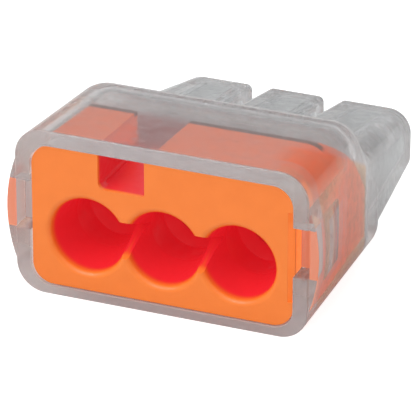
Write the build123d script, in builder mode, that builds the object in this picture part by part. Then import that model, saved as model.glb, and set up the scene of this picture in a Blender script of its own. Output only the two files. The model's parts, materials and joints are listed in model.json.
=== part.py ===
"""Three-port push-in wire connector.

A clear housing, an orange wire guide pressed into its open front, and inside
the guide a tinned busbar under a steel clip with three spring fingers.

Millimetres. +Z is up, +X to the right seen from the wire ports, and the ports
open towards -Y. The origin is the middle of the bounding box at its base.
"""

import os
from math import cos, radians, sin, sqrt, tan

from build123d import *

# ---------------------------------------------------------------- whole part
LENGTH = 22.0
WIDTH = 18.8
HEIGHT = 10.7
SIDE_DRAFT = 0.0393
TOP_DRAFT = 0.0445
OVERLAP = 0.2
OVERCUT = 0.01

# ---------------------------------------------------------------- wire ports
PORT_PITCH = 4.85
PORT_Z = 4.15
PORT_X = (-PORT_PITCH, 0.0, PORT_PITCH)
LIP_RADIUS = 2.75
MOUTH_RADIUS = 2.38
PORT_RADIUS = 2.0
THROAT_RADIUS = 1.3
PORT_START = 3.3
PORT_END = 5.2
THROAT_START = 5.8

# ------------------------------------------------------------------- housing
CORNER = 1.85
WALL = 0.95
FLOOR_WALL = 0.57
SHOULDER_START = 8.0
SHOULDER_RADIUS = 3.5
SHOULDER_ANGLE = 50.0
BODY_END = 14.6
HEEL_RADIUS = 1.8
CAVITY_END = 12.4
CAVITY_CORNER = 1.3
CAVITY_HEEL = 0.8
RIM_ROUND = 0.1

TAIL_START = 11.0
TAIL_ROOT_HALF = 8.98
TAIL_TIP_HALF = 7.75
TAIL_ROOT_Z = (0.8, 7.56)
TAIL_TIP_Z = (1.4, 5.56)
TAIL_ROOT_INNER = 2.85
TAIL_TIP_INNER = 2.98
TAIL_ROOT_MIDDLE = 2.0
TAIL_TIP_MIDDLE = 1.9
SNOUT_ROUND = 0.4
SNOUT_LOW_OUTER = 1.1
SNOUT_HIGH_OUTER = 1.5
TIP_ROUND = 0.25
POCKET_END = 21.1
POCKET_ROOT = (1.75, 2.0)
POCKET_TIP = (1.2, 1.1)
POCKET_Z = (4.2, 3.7)
POCKET_DRIFT = 0.3
POCKET_CORNER = 0.6
DIMPLE_HALF = 1.0
DIMPLE_DEPTH = (13.8, 14.9)
DIMPLE_FLOOR_Z = 6.7

# ---------------------------------------------------- side straps and catches
STRAP_Z = (1.9, 8.65)
STRAP_CROWN = 0.6
STRAP_RUNOUT = 0.03
STRAP_DEPTH = (0.12, 7.0)
GAP_Z = (4.05, 7.26)
GAP_END = 1.5
GAP_OUT = 9.45
GAP_WALL = 1.05
CATCH_Z = (2.8, 6.6)
CATCH_START = 3.0
CATCH_END = 5.8
CATCH_TIP_X = 7.55
CATCH_LAND = 0.2

# ---------------------------------------------------------------- wire guide
CLEARANCE = 0.06
PANEL_DEPTH = 0.2
HOOD_END = 6.1
ROOF_Z = (6.9, 7.42)
ROOF_END = 9.75
CHEEK_X = 7.35
CHEEK_REAR_Z = 5.95
RECESS_ROOM = 0.15
CLIP_BAY_START = 6.6
CLIP_BAY_HALF = 7.3
CLIP_BAY_FLOOR = 1.8
NOTCH_X = (-4.08, -1.08)
NOTCH_CORNERS = (0.45, 0.2)
CHANNEL_X = (-4.0, -0.55)
CHANNEL_START = 1.1
WEB_DEPTH = 3.1
WEB_APEX_Z = 4.3
WEB_RISE = 1.3
WEB_HALF = 0.55
EDGE_BEVEL = 0.35
EDGE_BEVEL_Z = (2.3, 8.1)

# ------------------------------------------------------------------ metalwork
SHEET = 0.25
BUSBAR_Z = (2.1, 2.9)
BUSBAR_DEPTH = (7.06, 11.3)
BUSBAR_HALF = 7.15
BUSBAR_CORNER = 0.4
BUSBAR_ROUND = 0.15
GROOVE_DEPTH = 0.12
CLIP_FRONT = 6.65
CLIP_TOP = 6.7
CLIP_HALF = 7.1
WINDOW_RADIUS = 1.45
FLANGE_END = 7.55
BEND_INNER = 0.15
FINGER_HINGE = (7.75, 6.55)
FINGER_TIP = (10.1, 3.3)
FINGER_WIDTH = 3.9
FINGER_CORNER = 0.35


def depth_y(depth):
    """Y of a point this far behind the front face."""
    return depth - LENGTH / 2


def at_depth(depth):
    """Upright plane facing the ports, local x = X and local y = Z."""
    return Plane.XZ.offset(LENGTH / 2 - depth)


def half_width(depth):
    return WIDTH / 2 - SIDE_DRAFT * depth


def top_z(depth):
    return HEIGHT - TOP_DRAFT * depth


def section(depth, x_range, z_range, low_corners, high_corners):
    """Rounded rectangle on the upright plane at a depth, corner radii left then right."""
    middle = ((x_range[0] + x_range[1]) / 2, (z_range[0] + z_range[1]) / 2)
    with BuildSketch(at_depth(depth)) as outline:
        with Locations(middle):
            Rectangle(x_range[1] - x_range[0], z_range[1] - z_range[0])
        for row, radii in ((0, low_corners), (-1, high_corners)):
            for column, radius in enumerate(radii):
                corners = outline.vertices().group_by(Axis.Y)[row]
                fillet(corners.sort_by(Axis.X)[-column], radius)
    return outline.sketch


def side_profile(wall, start, end, floor, heel):
    """Side view of the body, or of the space a wall thickness inside it."""
    crest = (depth_y(SHOULDER_START), top_z(SHOULDER_START) - wall)
    radius = SHOULDER_RADIUS - wall
    slope = radians(SHOULDER_ANGLE)
    shoulder = (crest[0] + radius * sin(slope), crest[1] - radius * (1 - cos(slope)))
    front = depth_y(start)
    rear = depth_y(end)
    foot = (rear, shoulder[1] - tan(slope) * (rear - shoulder[0]))
    with BuildSketch(Plane.YZ) as profile:
        with BuildLine():
            Line((front, floor), (front, top_z(start) - wall))
            Line((front, top_z(start) - wall), crest)
            RadiusArc(crest, shoulder, radius)
            Line(shoulder, foot)
            Line(foot, (rear, floor + heel))
            RadiusArc((rear, floor + heel), (rear - heel, floor), heel)
            Line((rear - heel, floor), (front, floor))
        make_face()
    return profile.sketch


def body_shape(wall, start, end, floor, heel, corner):
    """Drafted body with rounded long edges, set a wall thickness inwards."""
    front_half = half_width(start) - wall
    rear_half = half_width(end) - wall
    with BuildPart() as shape:
        extrude(side_profile(wall, start, end, floor, heel), amount=WIDTH, both=True)
        with BuildSketch(Plane.XY):
            with BuildLine():
                Polyline(
                    (-front_half, depth_y(start)),
                    (front_half, depth_y(start)),
                    (rear_half, depth_y(end)),
                    (-rear_half, depth_y(end)),
                    close=True,
                )
            make_face()
        extrude(amount=HEIGHT, mode=Mode.INTERSECT)
        long_edges = shape.edges().filter_by(
            lambda edge: abs(edge.center().X) > CHEEK_X
            and start + OVERCUT < edge.center().Y + LENGTH / 2 < end - OVERCUT
        )
        fillet(long_edges, corner)
    return shape.part


def cut_box(x_range, depth_range, z_range):
    """Removes a box from the part that is being built."""
    with Locations((sum(x_range) / 2, depth_y(sum(depth_range) / 2), sum(z_range) / 2)):
        Box(
            abs(x_range[1] - x_range[0]),
            depth_range[1] - depth_range[0],
            z_range[1] - z_range[0],
            mode=Mode.SUBTRACT,
        )


# ===================================================================== housing
def strap_outline(depth, crown):
    """Bowed outline of a side strap on the right, thick enough to join the wall."""
    wall_x = half_width(depth)
    with BuildSketch(at_depth(depth)) as outline:
        with BuildLine():
            low = (wall_x, STRAP_Z[0])
            high = (wall_x, STRAP_Z[1])
            ThreePointArc(low, (wall_x + crown, sum(STRAP_Z) / 2), high)
            Polyline(high, (wall_x - WALL, STRAP_Z[1]), (wall_x - WALL, STRAP_Z[0]), low)
        make_face()
    return outline.sketch


def snout_section(port, depth):
    """Outline of one rear snout; the outer ones carry on the side of the body."""
    along = (depth - TAIL_START) / (LENGTH - TAIL_START)
    outer = TAIL_ROOT_HALF + along * (TAIL_TIP_HALF - TAIL_ROOT_HALF)
    inner = TAIL_ROOT_INNER + along * (TAIL_TIP_INNER - TAIL_ROOT_INNER)
    middle = TAIL_ROOT_MIDDLE + along * (TAIL_TIP_MIDDLE - TAIL_ROOT_MIDDLE)
    low = TAIL_ROOT_Z[0] + along * (TAIL_TIP_Z[0] - TAIL_ROOT_Z[0])
    high = TAIL_ROOT_Z[1] + along * (TAIL_TIP_Z[1] - TAIL_ROOT_Z[1])
    if port == 0:
        x_range = (-outer, -inner)
    elif port == 1:
        x_range = (-middle, middle)
    else:
        x_range = (inner, outer)
    low_left = SNOUT_LOW_OUTER if port == 0 else SNOUT_ROUND
    low_right = SNOUT_LOW_OUTER if port == 2 else SNOUT_ROUND
    high_left = SNOUT_HIGH_OUTER if port == 0 else SNOUT_ROUND
    high_right = SNOUT_HIGH_OUTER if port == 2 else SNOUT_ROUND
    return section(depth, x_range, (low, high), (low_left, low_right), (high_left, high_right))


def pocket_section(port, depth):
    """Space inside a snout, which takes the end of the stripped wire."""
    along = (depth - CAVITY_END) / (POCKET_END - CAVITY_END)
    half_x = POCKET_ROOT[0] + along * (POCKET_TIP[0] - POCKET_ROOT[0])
    half_z = POCKET_ROOT[1] + along * (POCKET_TIP[1] - POCKET_ROOT[1])
    middle_z = POCKET_Z[0] + along * (POCKET_Z[1] - POCKET_Z[0])
    x = PORT_X[port] + along * POCKET_DRIFT * (port - 1)
    radii = (POCKET_CORNER, POCKET_CORNER)
    return section(depth, (x - half_x, x + half_x), (middle_z - half_z, middle_z + half_z), radii, radii)


outer_body = body_shape(0, 0, BODY_END, 0, HEEL_RADIUS, CORNER)
cavity = body_shape(WALL, -OVERCUT, CAVITY_END, FLOOR_WALL, CAVITY_HEEL, CAVITY_CORNER)

with BuildPart() as housing:
    add(outer_body)
    for port in range(len(PORT_X)):
        loft([snout_section(port, TAIL_START), snout_section(port, LENGTH)])
    fillet(housing.faces().sort_by(Axis.Y)[0].edges(), RIM_ROUND)
    tips = housing.faces().filter_by(Axis.Y).group_by(Axis.Y)[-1]
    fillet(tips.edges(), TIP_ROUND)

    strap_ends = [strap_outline(STRAP_DEPTH[0], STRAP_CROWN), strap_outline(STRAP_DEPTH[1], STRAP_RUNOUT)]
    strap = loft(strap_ends, mode=Mode.PRIVATE)
    add(strap)
    add(strap.mirror(Plane.YZ))

    add(cavity, mode=Mode.SUBTRACT)
    for port, x in enumerate(PORT_X):
        root = pocket_section(port, CAVITY_END - OVERLAP)
        tip = pocket_section(port, POCKET_END)
        loft([root, tip], mode=Mode.SUBTRACT)
        cut_box((x - DIMPLE_HALF, x + DIMPLE_HALF), DIMPLE_DEPTH, (DIMPLE_FLOOR_Z, HEIGHT))

    catch_root = half_width(CATCH_END) - WALL
    for side in (-1, 1):
        gap_x = (side * (half_width(0) - GAP_WALL), side * GAP_OUT)
        cut_box(gap_x, (-OVERCUT, GAP_END), GAP_Z)
        with BuildSketch(Plane.XY.offset(CATCH_Z[0])):
            with BuildLine():
                Polyline(
                    (side * (catch_root + OVERLAP), depth_y(CATCH_START)),
                    (side * catch_root, depth_y(CATCH_START)),
                    (side * CATCH_TIP_X, depth_y(CATCH_END - CATCH_LAND)),
                    (side * CATCH_TIP_X, depth_y(CATCH_END)),
                    (side * (catch_root + OVERLAP), depth_y(CATCH_END)),
                    close=True,
                )
            make_face()
        extrude(amount=CATCH_Z[1] - CATCH_Z[0])


# ================================================================== wire guide
def port_profile(x):
    """Half section of a wire port, turned about the port axis."""
    lip = LIP_RADIUS - MOUTH_RADIUS
    face = depth_y(PANEL_DEPTH)
    front = depth_y(0)
    rear = depth_y(CLIP_BAY_START + OVERLAP)
    with BuildSketch(Plane.XY.offset(PORT_Z)) as profile:
        with BuildLine():
            Line((x, front), (x + LIP_RADIUS, front))
            Line((x + LIP_RADIUS, front), (x + LIP_RADIUS, face))
            RadiusArc((x + LIP_RADIUS, face), (x + MOUTH_RADIUS, face + lip), lip)
            Polyline(
                (x + MOUTH_RADIUS, face + lip),
                (x + PORT_RADIUS, depth_y(PORT_START)),
                (x + PORT_RADIUS, depth_y(PORT_END)),
                (x + THROAT_RADIUS, depth_y(THROAT_START)),
                (x + THROAT_RADIUS, rear),
                (x, rear),
                (x, front),
            )
        make_face()
    return profile.sketch


guide_block = body_shape(
    WALL + CLEARANCE,
    PANEL_DEPTH,
    CAVITY_END - CLEARANCE,
    FLOOR_WALL + CLEARANCE,
    CAVITY_HEEL,
    CAVITY_CORNER,
)

with BuildPart() as wire_guide:
    add(guide_block)

    hood_top = top_z(HOOD_END) - WALL - CLEARANCE
    bay_x = (-CLIP_BAY_HALF, CLIP_BAY_HALF)
    cut_box((-CHEEK_X, CHEEK_X), (HOOD_END, LENGTH), (ROOF_Z[1], HEIGHT))
    cut_box(bay_x, (CLIP_BAY_START, LENGTH), (CLIP_BAY_FLOOR, ROOF_Z[0]))
    cut_box(bay_x, (ROOF_END, LENGTH), (ROOF_Z[0], HEIGHT))
    with BuildSketch(Plane.YZ):
        with BuildLine():
            Polyline(
                (depth_y(HOOD_END), hood_top),
                (depth_y(CAVITY_END), CHEEK_REAR_Z),
                (depth_y(CAVITY_END), HEIGHT),
                (depth_y(HOOD_END), HEIGHT),
                close=True,
            )
        make_face()
    extrude(amount=WIDTH, both=True, mode=Mode.SUBTRACT)

    for x in PORT_X:
        revolve(port_profile(x), axis=Axis((x, 0, PORT_Z), (0, 1, 0)), mode=Mode.SUBTRACT)
    for x in (-PORT_PITCH / 2, PORT_PITCH / 2):
        with BuildSketch(Plane.YZ.offset(x)):
            with BuildLine():
                Polyline(
                    (depth_y(0), WEB_APEX_Z - WEB_RISE),
                    (depth_y(WEB_DEPTH), WEB_APEX_Z),
                    (depth_y(0), WEB_APEX_Z + WEB_RISE),
                    close=True,
                )
            make_face()
        extrude(amount=WEB_HALF, both=True, mode=Mode.SUBTRACT)

    with BuildSketch(at_depth(0)) as notch:
        with Locations((sum(NOTCH_X) / 2, (ROOF_Z[1] + HEIGHT) / 2)):
            Rectangle(NOTCH_X[1] - NOTCH_X[0], HEIGHT - ROOF_Z[1])
        for column, radius in ((0, NOTCH_CORNERS[0]), (-1, NOTCH_CORNERS[1])):
            feet = notch.vertices().group_by(Axis.Y)[0].sort_by(Axis.X)
            fillet(feet[column], radius)
    extrude(amount=-HOOD_END, mode=Mode.SUBTRACT)
    cut_box(CHANNEL_X, (CHANNEL_START, LENGTH), (ROOF_Z[1], HEIGHT))

    face = depth_y(PANEL_DEPTH)
    edge_x = half_width(PANEL_DEPTH) - WALL - CLEARANCE
    with BuildSketch(Plane.XY.offset(EDGE_BEVEL_Z[0])):
        with BuildLine():
            Polyline(
                (edge_x - EDGE_BEVEL, face),
                (edge_x + EDGE_BEVEL, face),
                (edge_x, face + EDGE_BEVEL),
                close=True,
            )
        make_face()
    extrude(amount=EDGE_BEVEL_Z[1] - EDGE_BEVEL_Z[0], mode=Mode.SUBTRACT)
    for side in (-1, 1):
        cut_box(
            (side * (CATCH_TIP_X - RECESS_ROOM), side * WIDTH / 2),
            (CATCH_START - RECESS_ROOM, CATCH_END + RECESS_ROOM),
            (CATCH_Z[0] - RECESS_ROOM, CATCH_Z[1] + RECESS_ROOM),
        )


# ==================================================================== metalwork
with BuildPart() as busbar:
    bar_depth = sum(BUSBAR_DEPTH) / 2
    with Locations((0, depth_y(bar_depth), sum(BUSBAR_Z) / 2)):
        Box(2 * BUSBAR_HALF, BUSBAR_DEPTH[1] - BUSBAR_DEPTH[0], BUSBAR_Z[1] - BUSBAR_Z[0])
    fillet(busbar.edges().filter_by(Axis.Z), BUSBAR_CORNER)
    fillet(busbar.edges().group_by(Axis.Z)[-1], BUSBAR_ROUND)
    groove_axis_z = BUSBAR_Z[1] - GROOVE_DEPTH + THROAT_RADIUS
    for x in PORT_X:
        with Locations(Location((x, depth_y(bar_depth), groove_axis_z), (90, 0, 0))):
            Cylinder(THROAT_RADIUS, 2 * BUSBAR_HALF, mode=Mode.SUBTRACT)

with BuildPart() as clip_frame:
    low = BUSBAR_Z[0] - SHEET
    front = depth_y(CLIP_FRONT)
    with BuildSketch(Plane.YZ) as strip:
        with BuildLine():
            Polyline(
                (depth_y(BUSBAR_DEPTH[1]), low),
                (front, low),
                (front, CLIP_TOP),
                (depth_y(FLANGE_END), CLIP_TOP),
                (depth_y(FLANGE_END), CLIP_TOP - SHEET),
                (front + SHEET, CLIP_TOP - SHEET),
                (front + SHEET, low + SHEET),
                (depth_y(BUSBAR_DEPTH[1]), low + SHEET),
                close=True,
            )
        make_face()
        fillet(strip.vertices().group_by(Axis.X)[1], BEND_INNER)
        fillet(strip.vertices().group_by(Axis.X)[0], BEND_INNER + SHEET)
    extrude(amount=CLIP_HALF, both=True)
    for x in PORT_X:
        with Locations(Location((x, front, PORT_Z), (90, 0, 0))):
            Cylinder(WINDOW_RADIUS, 3 * SHEET, mode=Mode.SUBTRACT)


def spring_finger(x):
    """One spring finger, sloping down and back from its root to the busbar."""
    rise = FINGER_HINGE[1] - FINGER_TIP[1]
    run = FINGER_TIP[0] - FINGER_HINGE[0]
    length = sqrt(run**2 + rise**2)
    root = (x, depth_y(FINGER_HINGE[0]), FINGER_HINGE[1])
    along_finger = Plane(origin=root, x_dir=(0, run, -rise), z_dir=(1, 0, 0))
    with BuildPart() as finger:
        with BuildSketch(along_finger):
            with BuildLine():
                Polyline(
                    (0, -SHEET / 2),
                    (length, -SHEET / 2),
                    (length, SHEET / 2),
                    (0, SHEET / 2),
                    close=True,
                )
            make_face()
        extrude(amount=FINGER_WIDTH / 2, both=True)
        upright = finger.edges().filter_by(lambda edge: abs(edge.length - SHEET) < OVERCUT)
        fillet(upright, FINGER_CORNER)
    return finger


pieces = {
    "housing": housing,
    "wire_guide": wire_guide,
    "busbar": busbar,
    "clip_frame": clip_frame,
}
for side, x in zip(("left", "middle", "right"), PORT_X):
    pieces[f"spring_finger_{side}"] = spring_finger(x)

os.makedirs("parts", exist_ok=True)
for name, piece in pieces.items():
    piece.part.label = name
    export_step(piece.part, f"parts/{name}.step")
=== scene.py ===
"""Looks of a three-port push-in wire connector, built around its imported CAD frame."""

import json
from math import cos, radians, sin

import bpy
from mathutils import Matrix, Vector

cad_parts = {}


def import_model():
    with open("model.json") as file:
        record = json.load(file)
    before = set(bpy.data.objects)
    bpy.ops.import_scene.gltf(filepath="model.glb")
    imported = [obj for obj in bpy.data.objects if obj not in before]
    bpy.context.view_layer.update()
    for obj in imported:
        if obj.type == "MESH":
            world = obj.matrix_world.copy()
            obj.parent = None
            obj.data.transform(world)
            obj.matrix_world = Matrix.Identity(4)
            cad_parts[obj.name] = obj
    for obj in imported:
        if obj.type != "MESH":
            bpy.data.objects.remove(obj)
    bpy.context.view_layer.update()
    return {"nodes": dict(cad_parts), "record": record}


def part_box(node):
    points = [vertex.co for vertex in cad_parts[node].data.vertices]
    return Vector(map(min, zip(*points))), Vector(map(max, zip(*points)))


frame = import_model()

MM = 0.001


# ------------------------------------------------------------- node helpers
def add(material, kind, inputs=None, **settings):
    """Adds a node; an input given as a socket is linked, any other is a plain value."""
    tree = material.node_tree
    made = tree.nodes.new(kind)
    for name, value in settings.items():
        setattr(made, name, value)
    for socket, value in (inputs or {}).items():
        if isinstance(value, bpy.types.NodeSocket):
            tree.links.new(value, made.inputs[socket])
        else:
            made.inputs[socket].default_value = value
    return made


def maths(material, operation, *values):
    return add(material, "ShaderNodeMath", dict(enumerate(values)), operation=operation).outputs[0]


def product(material, first, *others):
    for other in others:
        first = maths(material, "MULTIPLY", first, other)
    return first


def largest(material, first, *others):
    for other in others:
        first = maths(material, "MAXIMUM", first, other)
    return first


def vector_maths(material, operation, first, second):
    return add(material, "ShaderNodeVectorMath", {0: first, 1: second}, operation=operation).outputs


def ramp(material, value, start, end, low=0.0, high=1.0):
    """Value mapped smoothly from start..end to low..high; start may be above end."""
    inputs = {"Value": value, "From Min": start, "From Max": end, "To Min": low, "To Max": high}
    made = add(material, "ShaderNodeMapRange", inputs, interpolation_type="SMOOTHSTEP")
    return made.outputs["Result"]


def pick(material, mask, outside, inside):
    """The value outside where the mask is zero, and inside where it is one."""
    return ramp(material, mask, 0.0, 1.0, outside, inside)


def band(material, value, low, high, soft):
    """One between low and high, falling to nothing over a soft edge outside them."""
    rise = ramp(material, value, low - soft, low)
    fall = ramp(material, value, high + soft, high)
    return maths(material, "MULTIPLY", rise, fall)


def mix_color(material, factor, first, second):
    made = add(material, "ShaderNodeMix", {0: factor, 6: first, 7: second}, data_type="RGBA")
    return made.outputs[2]


def noise(material, place, scale, detail=3.0):
    made = add(material, "ShaderNodeTexNoise", {"Vector": place, "Scale": scale, "Detail": detail})
    return made.outputs["Fac"]


def bump(material, height, distance, strength):
    inputs = {"Height": height, "Distance": distance, "Strength": strength}
    return add(material, "ShaderNodeBump", inputs).outputs["Normal"]


def mix_shader(material, factor, first, second):
    return add(material, "ShaderNodeMixShader", {0: factor, 1: first, 2: second}).outputs[0]


def link(material, source, shader, socket):
    material.node_tree.links.new(source, shader.inputs[socket])


def new_material(name):
    material = bpy.data.materials.new(name)
    material.use_nodes = True
    place = add(material, "ShaderNodeTexCoord").outputs["Object"]
    return material, place, material.node_tree.nodes["Principled BSDF"]


# ---------------------------------------------------------------- materials
# Places are in the frame's metres. Depth is measured back from the front of the housing.
PORTS = [Vector(m["pos_m"]) for m in frame["record"]["mounts"] if m["kind"] == "bore"]
PORT_MOUTH = 2.5 * MM
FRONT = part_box("housing")[0].y
PANEL_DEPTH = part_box("wire_guide")[0].y - FRONT
BAY_START = 6.6 * MM
BEVEL = 0.35 * MM

# The test channel on the roof of the guide, its notch in the front and the hood over it.
NOTCH_X = (-4.15 * MM, -0.5 * MM)
CHANNEL_FLOOR = 7.42 * MM
CHANNEL_WALL_X = (-4.1 * MM, -3.95 * MM)
HOOD_END = 6.1 * MM
HOOD_RIM_Z = (9.1 * MM, 9.25 * MM)
HOOD_TOP_Z = (9.2 * MM, 9.3 * MM)
CHEEK_X = 7.35 * MM

# Height plus depth times SIGHT_FALL is below SIGHT_TOP for what the notch lets one see.
SIGHT_FALL = 0.525
SIGHT_TOP = 10.0 * MM

# The sides: recess and window, upper corner, gap behind the strap, and the strap.
RECESS_X = (7.3 * MM, 7.9 * MM)
RECESS_DEPTH = (2.9 * MM, 5.9 * MM)
RECESS_Z = (2.7 * MM, 6.7 * MM)
CORNER_X = (6.0 * MM, 7.0 * MM)
CORNER_Z = (7.6 * MM, 8.6 * MM)
LOW_SIDE_Z = (0.8 * MM, 3.5 * MM)
PANEL_EDGE_X = (8.0 * MM, 8.05 * MM)
GAP_START_X = (7.9 * MM, 8.1 * MM)
GAP_DEPTH = 1.7 * MM
GAP_END = 1.5 * MM
GAP_Z = (4.1 * MM, 7.2 * MM)
WALL_X = (8.3 * MM, 9.4 * MM)
STRAP_INSIDE_X = (9.4 * MM, 9.5 * MM)
STRAP_X = (9.42 * MM, 10.0 * MM)

# The housing: painted warm light on its sides up to the cheeks, a painted highlight band on the shoulder,
# painted shade on the snouts' outer sides, painted light low on the front face, and painted shade in the
# dimples.
WARM_X = (6.0 * MM, 7.5 * MM)
WARM_LOW_Z = (0.4 * MM, 0.9 * MM)
WARM_HIGH_Z = (9.0 * MM, 8.6 * MM)
WARM_DEPTH = (1.9 * MM, 10.4 * MM)
CHEEK_FALL = 0.548
CHEEK_END = (12.9 * MM, 12.5 * MM)
SHOULDER_DEPTH = (6.3 * MM, 6.9 * MM)
SHOULDER_Z = (8.0 * MM, 8.5 * MM)
SNOUT_SIDE_X = (7.2 * MM, 7.8 * MM)
SNOUT_DEPTH = (12.0 * MM, 13.0 * MM)
LOW_FACE_Z = (4.0 * MM, 0.5 * MM)
DIMPLE_HALF = 1.0 * MM
DIMPLE_DEPTH = (13.8 * MM, 14.9 * MM)
DIMPLE_Z = (6.65 * MM, 7.2 * MM)


def axes(material, place):
    """X, height, depth behind the front of the housing, and distance from the middle."""
    x, y, z = add(material, "ShaderNodeSeparateXYZ", {0: place}).outputs
    return x, z, maths(material, "SUBTRACT", y, FRONT), maths(material, "ABSOLUTE", x)


def inverse(material, mask):
    return maths(material, "SUBTRACT", 1.0, mask)


def in_ports(material, place, depth):
    """One on the walls of the wire ports, behind their rounded mouths."""
    flat = vector_maths(material, "MULTIPLY", place, (1, 0, 1))[0]
    masks = []
    for port in PORTS:
        reach = vector_maths(material, "DISTANCE", flat, (port.x, 0, port.z))["Value"]
        masks.append(ramp(material, reach, PORT_MOUTH + 0.25 * MM, PORT_MOUTH - 0.15 * MM))
    before_bay = ramp(material, depth, BAY_START + 0.2 * MM, BAY_START)
    past_mouth = ramp(material, depth, PANEL_DEPTH + 0.15 * MM, PANEL_DEPTH + 0.8 * MM)
    return product(material, largest(material, *masks), before_bay, past_mouth)


def roof_masks(material, place, soft):
    """The notch's painted red, the ledge's painted shade, the painted shadow line at the hood's rear edge,
    its top and the channel's wall.
    """
    x, z, depth, aside = axes(material, place)
    sight = maths(material, "ADD", z, maths(material, "MULTIPLY", depth, SIGHT_FALL))
    notch = product(
        material,
        band(material, x, *NOTCH_X, soft),
        ramp(material, z, CHANNEL_FLOOR - 2 * soft, CHANNEL_FLOOR - soft),
        ramp(material, depth, PANEL_DEPTH + soft, PANEL_DEPTH + 4 * soft),
        ramp(material, sight, SIGHT_TOP + 4 * soft, SIGHT_TOP - 2 * soft),
    )
    ledge = product(
        material,
        ramp(material, aside, CHEEK_X + 2 * soft, CHEEK_X),
        band(material, z, CHANNEL_FLOOR - soft, CHANNEL_FLOOR + soft, soft),
        ramp(material, sight, SIGHT_TOP - 3 * soft, SIGHT_TOP + 6 * soft),
    )
    hood_edge_shadow = product(
        material,
        band(material, depth, HOOD_END - 0.4 * MM, HOOD_END + 0.02 * MM, soft),
        ramp(material, z, *HOOD_RIM_Z),
    )
    hood_top = ramp(material, z, *HOOD_TOP_Z)
    channel_wall = product(
        material,
        band(material, x, *CHANNEL_WALL_X, 0.03 * MM),
        ramp(material, z, CHANNEL_FLOOR + soft, CHANNEL_FLOOR + 2 * soft),
    )
    return notch, ledge, hood_edge_shadow, hood_top, channel_wall


def guide_side_masks(material, place, behind, soft):
    """The recess for the window, the wall of the gap where the painted glow is stronger, the upper corner
    where it is weaker, and the panel's edge, which gets a painted highlight.
    """
    _, z, depth, aside = axes(material, place)
    recess = product(
        material,
        band(material, aside, *RECESS_X, soft),
        band(material, depth, *RECESS_DEPTH, soft),
        band(material, z, *RECESS_Z, soft),
    )
    in_gap = product(
        material,
        behind,
        ramp(material, depth, GAP_DEPTH, GAP_DEPTH - soft),
        ramp(material, aside, *GAP_START_X),
    )
    corner = product(material, ramp(material, aside, *CORNER_X), ramp(material, z, *CORNER_Z))
    edge = product(
        material,
        band(material, depth, PANEL_DEPTH + 0.03 * MM, PANEL_DEPTH + BEVEL, 0.02 * MM),
        ramp(material, aside, *PANEL_EDGE_X),
    )
    return recess, in_gap, corner, edge


def orange_plastic():
    """Translucent moulded orange, with painted light: painted red and a painted glow in the ports and
    notch, and a painted deeper orange with a painted glow on the faces behind the front.
    """
    material, place, shader = new_material("orange_plastic")
    soft = 0.1 * MM
    _, z, depth, _ = axes(material, place)
    behind = ramp(material, depth, PANEL_DEPTH + BEVEL, PANEL_DEPTH + 2 * BEVEL)
    notch, ledge, hood_edge_shadow, hood_top, channel_wall = roof_masks(material, place, soft)
    recess, in_gap, corner, edge = guide_side_masks(material, place, behind, soft)
    # The red in the ports and the notch is painted light, standing in for light bounced inside the
    # translucent orange.
    red = largest(material, in_ports(material, place, depth), notch)

    mottle = noise(material, place, 900.0)
    front = mix_color(material, mottle, (0.88, 0.205, 0.025, 1), (0.96, 0.24, 0.034, 1))
    # The deeper orange on the faces behind the front is painted, standing in for light carried through the
    # translucent orange.
    flank = mix_color(material, mottle, (0.78, 0.12, 0.015, 1), (0.86, 0.15, 0.02, 1))
    painted_hollow_red = mix_color(material, mottle, (0.62, 0.017, 0.024, 1), (0.70, 0.021, 0.029, 1))
    shade = mix_color(material, mottle, (0.22, 0.03, 0.03, 1), (0.30, 0.04, 0.04, 1))
    painted_shadow_line = (0.08, 0.03, 0.02, 1)
    warm_grey = (0.42, 0.34, 0.32, 1)
    color = mix_color(material, behind, front, flank)
    # Painted shade on the ledge behind the hood.
    color = mix_color(material, ledge, color, shade)
    # A painted shadow line along the hood's rear edge.
    color = mix_color(material, hood_edge_shadow, color, painted_shadow_line)
    color = mix_color(material, recess, color, warm_grey)
    color = mix_color(material, red, color, painted_hollow_red)
    link(material, color, shader, "Base Color")

    # Painted glow on the faces behind the front: brighter low down, in the gap and on the channel's wall,
    # dimmer at the upper corner and on the hood's top, and left off the ledge, the hood's edge, the recess
    # and the red.
    side_color = mix_color(material, in_gap, (0.90, 0.11, 0.005, 1), (1.0, 0.25, 0.05, 1))
    glow = mix_color(material, red, side_color, (0.80, 0.018, 0.03, 1))
    link(material, glow, shader, "Emission Color")
    unlit = largest(material, ledge, hood_edge_shadow, recess, red)
    side_glow = product(
        material,
        behind,
        inverse(material, unlit),
        ramp(material, z, *LOW_SIDE_Z, 0.34, 0.26),
        pick(material, in_gap, 1.0, 2.4),
        pick(material, corner, 1.0, 0.75),
        pick(material, channel_wall, 1.0, 1.5),
        pick(material, hood_top, 1.0, 0.6),
    )
    # A painted highlight glows on the panel's bevelled edge, over a faint painted glow on all the rest.
    face_glow = pick(material, edge, 0.05, 0.3)
    # Painted red glow in the ports and the notch.
    red_glow = product(material, red, pick(material, notch, 0.28, 0.2))
    link(material, largest(material, red_glow, side_glow, face_glow), shader, "Emission Strength")

    grain = noise(material, place, 2500.0)
    link(material, ramp(material, grain, 0.3, 0.7, 0.28, 0.42), shader, "Roughness")
    texture = noise(material, place, 6000.0)
    link(material, bump(material, texture, 0.01 * MM, 0.25), shader, "Normal")
    return material


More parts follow.
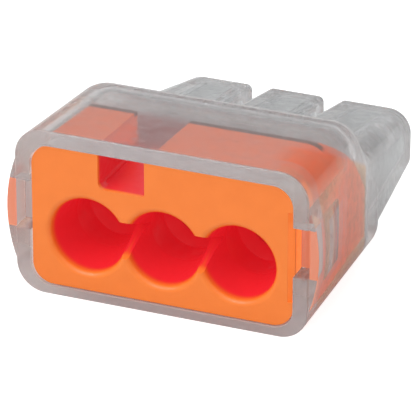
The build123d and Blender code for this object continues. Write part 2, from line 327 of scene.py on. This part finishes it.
def strap_masks(material, place, soft):
    """Where the straps show salmon from the front, which is painted light on their fronts and the right
    gap end, and where their gaps show grey.
    """
    x, z, depth, aside = axes(material, place)
    in_gap_z = band(material, z, *GAP_Z, soft)
    gap_end = product(
        material,
        in_gap_z,
        band(material, aside, *WALL_X, soft),
        band(material, depth, GAP_END - soft, GAP_END + soft, soft),
    )
    strap_front = product(
        material,
        in_gap_z,
        band(material, aside, *STRAP_X, soft),
        ramp(material, depth, 7 * soft, 5 * soft),
    )
    strap_inside = product(
        material,
        in_gap_z,
        band(material, aside, *STRAP_INSIDE_X, soft),
        ramp(material, depth, GAP_END, GAP_END - 2 * soft),
    )
    right_gap_end = product(material, gap_end, ramp(material, x, -soft, soft))
    return largest(material, right_gap_end, strap_front), largest(material, gap_end, strap_inside)


def dimple_shade_mask(material, place, soft):
    """One on the floors of the recesses at the roots of the snouts, where painted shade goes."""
    x, z, depth, _ = axes(material, place)
    across = []
    for port in PORTS:
        from_port = maths(material, "ABSOLUTE", maths(material, "SUBTRACT", x, port.x))
        across.append(ramp(material, from_port, 1.1 * DIMPLE_HALF, DIMPLE_HALF))
    return product(
        material,
        largest(material, *across),
        band(material, depth, *DIMPLE_DEPTH, soft),
        band(material, z, *DIMPLE_Z, soft),
    )


def housing_tint(material, place, haze, soft):
    """Smoky grey, with painted shade on the snouts' outer sides and a painted warm tint on the sides that
    stands in for light from the orange behind them.
    """
    x, z, depth, aside = axes(material, place)
    cheek = maths(material, "ADD", z, maths(material, "MULTIPLY", depth, CHEEK_FALL))
    window = product(
        material,
        band(material, depth, *RECESS_DEPTH, soft),
        band(material, z, *RECESS_Z, soft),
    )
    # Painted orange light on the clear sides, from the guide behind them.
    warm = product(
        material,
        ramp(material, aside, *WARM_X),
        ramp(material, z, *WARM_LOW_Z),
        largest(material, ramp(material, z, *WARM_HIGH_Z), ramp(material, x, -soft, soft)),
        band(material, depth, *WARM_DEPTH, 0.3 * MM),
        ramp(material, cheek, *CHEEK_END),
        inverse(material, window),
    )
    # Painted shade on the snouts' outer sides.
    outer_side_shade = product(
        material,
        ramp(material, aside, *SNOUT_SIDE_X),
        ramp(material, depth, *SNOUT_DEPTH),
    )
    tint = mix_color(material, haze, (0.78, 0.80, 0.805, 1), (0.90, 0.91, 0.915, 1))
    tint = mix_color(material, outer_side_shade, tint, (0.62, 0.63, 0.635, 1))
    return mix_color(material, warm, tint, (0.95, 0.53, 0.26, 1))


def veiled(material, place, haze, glass, soft):
    """The glass with a milky veil over it, denser on the front face, shoulder and straps; the veil carries
    painted light low on the front face, a painted highlight band on the shoulder, painted pink light with
    a glow on the strap fronts and the right gap end, and painted shade in the dimples.
    """
    _, z, depth, _ = axes(material, place)
    fine = noise(material, place, 2200.0)
    painted_pink_light, slot = strap_masks(material, place, soft)
    dimple_shade = dimple_shade_mask(material, place, soft)
    # A painted highlight band across the shoulder.
    shoulder = product(
        material,
        band(material, depth, *SHOULDER_DEPTH, 0.3 * MM),
        ramp(material, z, *SHOULDER_Z),
    )
    # Painted light: the veil is lighter towards the bottom.
    low = ramp(material, z, *LOW_FACE_Z)
    veil_light_and_shade = mix_color(material, haze, (0.38, 0.385, 0.395, 1), (0.48, 0.485, 0.495, 1))
    veil_light_and_shade = mix_color(material, low, veil_light_and_shade, (0.60, 0.605, 0.615, 1))
    veil_light_and_shade = mix_color(material, shoulder, veil_light_and_shade, (0.62, 0.65, 0.64, 1))
    veil_light_and_shade = mix_color(material, slot, veil_light_and_shade, (0.58, 0.63, 0.65, 1))
    # Painted pink light on the strap fronts and the right gap end.
    veil_light_and_shade = mix_color(material, painted_pink_light, veil_light_and_shade, (0.90, 0.30, 0.17, 1))
    # Painted shade in the dimples.
    veil_light_and_shade = mix_color(material, dimple_shade, veil_light_and_shade, (0.16, 0.12, 0.12, 1))
    near = add(material, "ShaderNodeBsdfDiffuse", {"Color": veil_light_and_shade}).outputs[0]
    far = add(material, "ShaderNodeBsdfTranslucent", {"Color": veil_light_and_shade}).outputs[0]
    rear_share = product(
        material,
        ramp(material, depth, HOOD_END, HOOD_END + 1.0 * MM),
        ramp(material, fine, 0.35, 0.7, 0.03, 0.16),
    )
    # Painted light on the front face: a denser veil, densest towards the bottom.
    front_share = product(
        material,
        ramp(material, depth, 5 * soft, 3 * soft),
        ramp(material, z, *LOW_FACE_Z, 0.34, 0.6),
    )
    share = largest(
        material,
        ramp(material, haze, 0.3, 0.7, 0.01, 0.05),
        rear_share,
        front_share,
        product(material, shoulder, ramp(material, fine, 0.35, 0.7, 0.12, 0.28)),
        maths(material, "MULTIPLY", largest(material, painted_pink_light, slot), 0.75),
        maths(material, "MULTIPLY", dimple_shade, 0.5),
    )
    # Painted pink light glows on the strap fronts and the right gap end.
    glass.inputs["Emission Color"].default_value = (1.0, 0.3, 0.12, 1)
    link(material, maths(material, "MULTIPLY", painted_pink_light, 0.4), glass, "Emission Strength")
    return mix_shader(material, share, glass.outputs[0], mix_shader(material, 0.3, near, far))


def clear_plastic():
    """Smoky clear polycarbonate: glass-like walls that grey with thickness."""
    material, place, shader = new_material("clear_plastic")
    soft = 0.05 * MM
    haze = noise(material, place, 700.0)
    shader.inputs["Transmission Weight"].default_value = 1.0
    shader.inputs["IOR"].default_value = 1.42
    link(material, housing_tint(material, place, haze, soft), shader, "Base Color")
    smears = noise(material, place, 1500.0)
    link(material, ramp(material, smears, 0.3, 0.7, 0.08, 0.2), shader, "Roughness")
    waves = noise(material, place, 1200.0)
    link(material, bump(material, waves, 0.03 * MM, 0.3), shader, "Normal")
    body = veiled(material, place, haze, shader, soft)

    # Light that reaches the orange through the walls goes straight on, only a little dimmed.
    path = add(material, "ShaderNodeLightPath").outputs
    passing = largest(material, path["Is Shadow Ray"], path["Is Diffuse Ray"])
    clear = add(material, "ShaderNodeBsdfTransparent", {"Color": (0.92, 0.92, 0.92, 1)}).outputs[0]
    output = material.node_tree.nodes["Material Output"]
    link(material, mix_shader(material, passing, body, clear), output, "Surface")
    smoke = add(material, "ShaderNodeVolumeScatter", {"Color": (0.42, 0.44, 0.445, 1), "Density": 180.0})
    link(material, smoke.outputs[0], output, "Volume")
    return material


def metal(name, color, roughness):
    """Rolled sheet with fine lines along X."""
    material, place, shader = new_material(name)
    lines = noise(material, vector_maths(material, "MULTIPLY", place, (1, 12, 12))[0], 1500.0)
    dark = [0.85 * part for part in color]
    link(material, mix_color(material, lines, (*dark, 1), (*color, 1)), shader, "Base Color")
    shader.inputs["Metallic"].default_value = 1.0
    link(material, ramp(material, lines, 0.3, 0.7, roughness - 0.05, roughness + 0.1), shader, "Roughness")
    link(material, bump(material, lines, 0.004 * MM, 0.4), shader, "Normal")
    return material


def dress(names, material):
    for name in names:
        mesh = frame["nodes"][name].data
        mesh.materials.clear()
        mesh.materials.append(material)


FINGERS = [name for name in frame["nodes"] if name.startswith("spring_finger")]
dress(["housing"], clear_plastic())
dress(["wire_guide"], orange_plastic())
dress(["busbar"], metal("tinned_copper", (0.80, 0.80, 0.78), 0.3))
dress(["clip_frame", *FINGERS], metal("spring_steel", (0.62, 0.63, 0.65), 0.25))


# -------------------------------------------------------------------- stage
FLOOR_HALF = 2.0
FLOOR_GAP = 0.02 * MM


def floor():
    """A pale floor, brighter to the camera than to the object standing on it."""
    half = FLOOR_HALF
    corners = [(-half, -half, 0), (half, -half, 0), (half, half, 0), (-half, half, 0)]
    mesh = bpy.data.meshes.new("floor")
    mesh.from_pydata(corners, [], [(0, 1, 2, 3)])
    piece = bpy.data.objects.new("floor", mesh)
    bpy.context.scene.collection.objects.link(piece)
    piece.location.z = -FLOOR_GAP
    material, _, shader = new_material("floor")
    seen = add(material, "ShaderNodeLightPath").outputs["Is Camera Ray"]
    pale = mix_color(material, seen, (0.72, 0.72, 0.72, 1), (0.5, 0.5, 0.5, 1))
    link(material, pale, shader, "Base Color")
    shader.inputs["Roughness"].default_value = 0.9
    shader.inputs["Emission Color"].default_value = (1, 1, 1, 1)
    link(material, maths(material, "MULTIPLY", seen, 0.75), shader, "Emission Strength")
    mesh.materials.append(material)


def softbox(name, location, target, size, power):
    light = bpy.data.lights.new(name, "AREA")
    light.size = size
    light.energy = power
    lamp = bpy.data.objects.new(name, light)
    bpy.context.scene.collection.objects.link(lamp)
    lamp.location = location
    lamp.rotation_euler = (Vector(target) - Vector(location)).to_track_quat("-Z", "Y").to_euler()


def world():
    """White surroundings that fade towards the horizon."""
    sky = bpy.data.worlds.new("studio")
    bpy.context.scene.world = sky
    sky.use_nodes = True
    direction = add(sky, "ShaderNodeTexCoord").outputs["Generated"]
    height = add(sky, "ShaderNodeSeparateXYZ", {0: direction}).outputs["Z"]
    background = sky.node_tree.nodes["Background"]
    background.inputs["Color"].default_value = (1, 1, 1, 1)
    link(sky, ramp(sky, height, 0.2, 0.9, 0.4, 1.05), background, "Strength")


CAMERA_AZIMUTH = radians(23.41)
CAMERA_ELEVATION = radians(25.73)
CAMERA_DISTANCE = 250 * MM
CAMERA_LENS = 363.9
AIM_RIGHT = 2.94 * MM
AIM_UP = 1.417 * MM


def camera():
    low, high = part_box("housing")
    front_centre = Vector((0, low.y, (low.z + high.z) / 2))
    ahead = Vector(
        (
            -sin(CAMERA_AZIMUTH) * cos(CAMERA_ELEVATION),
            cos(CAMERA_AZIMUTH) * cos(CAMERA_ELEVATION),
            -sin(CAMERA_ELEVATION),
        )
    )
    right = Vector((cos(CAMERA_AZIMUTH), sin(CAMERA_AZIMUTH), 0))
    up = right.cross(ahead)
    aim = front_centre + AIM_RIGHT * right + AIM_UP * up
    data = bpy.data.cameras.new("camera")
    data.lens = CAMERA_LENS
    data.clip_start = 0.01
    view = bpy.data.objects.new("camera", data)
    bpy.context.scene.collection.objects.link(view)
    view.location = front_centre - CAMERA_DISTANCE * ahead
    view.rotation_euler = (aim - view.location).to_track_quat("-Z", "Y").to_euler()
    bpy.context.scene.camera = view


floor()
world()
softbox("key", (-0.15, -0.25, 0.3), (0, 0, 0.005), 0.3, 0.8)
camera()
scene = bpy.context.scene
scene.view_settings.view_transform = "Standard"
scene.cycles.max_bounces = 24
scene.cycles.glossy_bounces = 16
scene.cycles.transmission_bounces = 20
scene.cycles.volume_bounces = 3
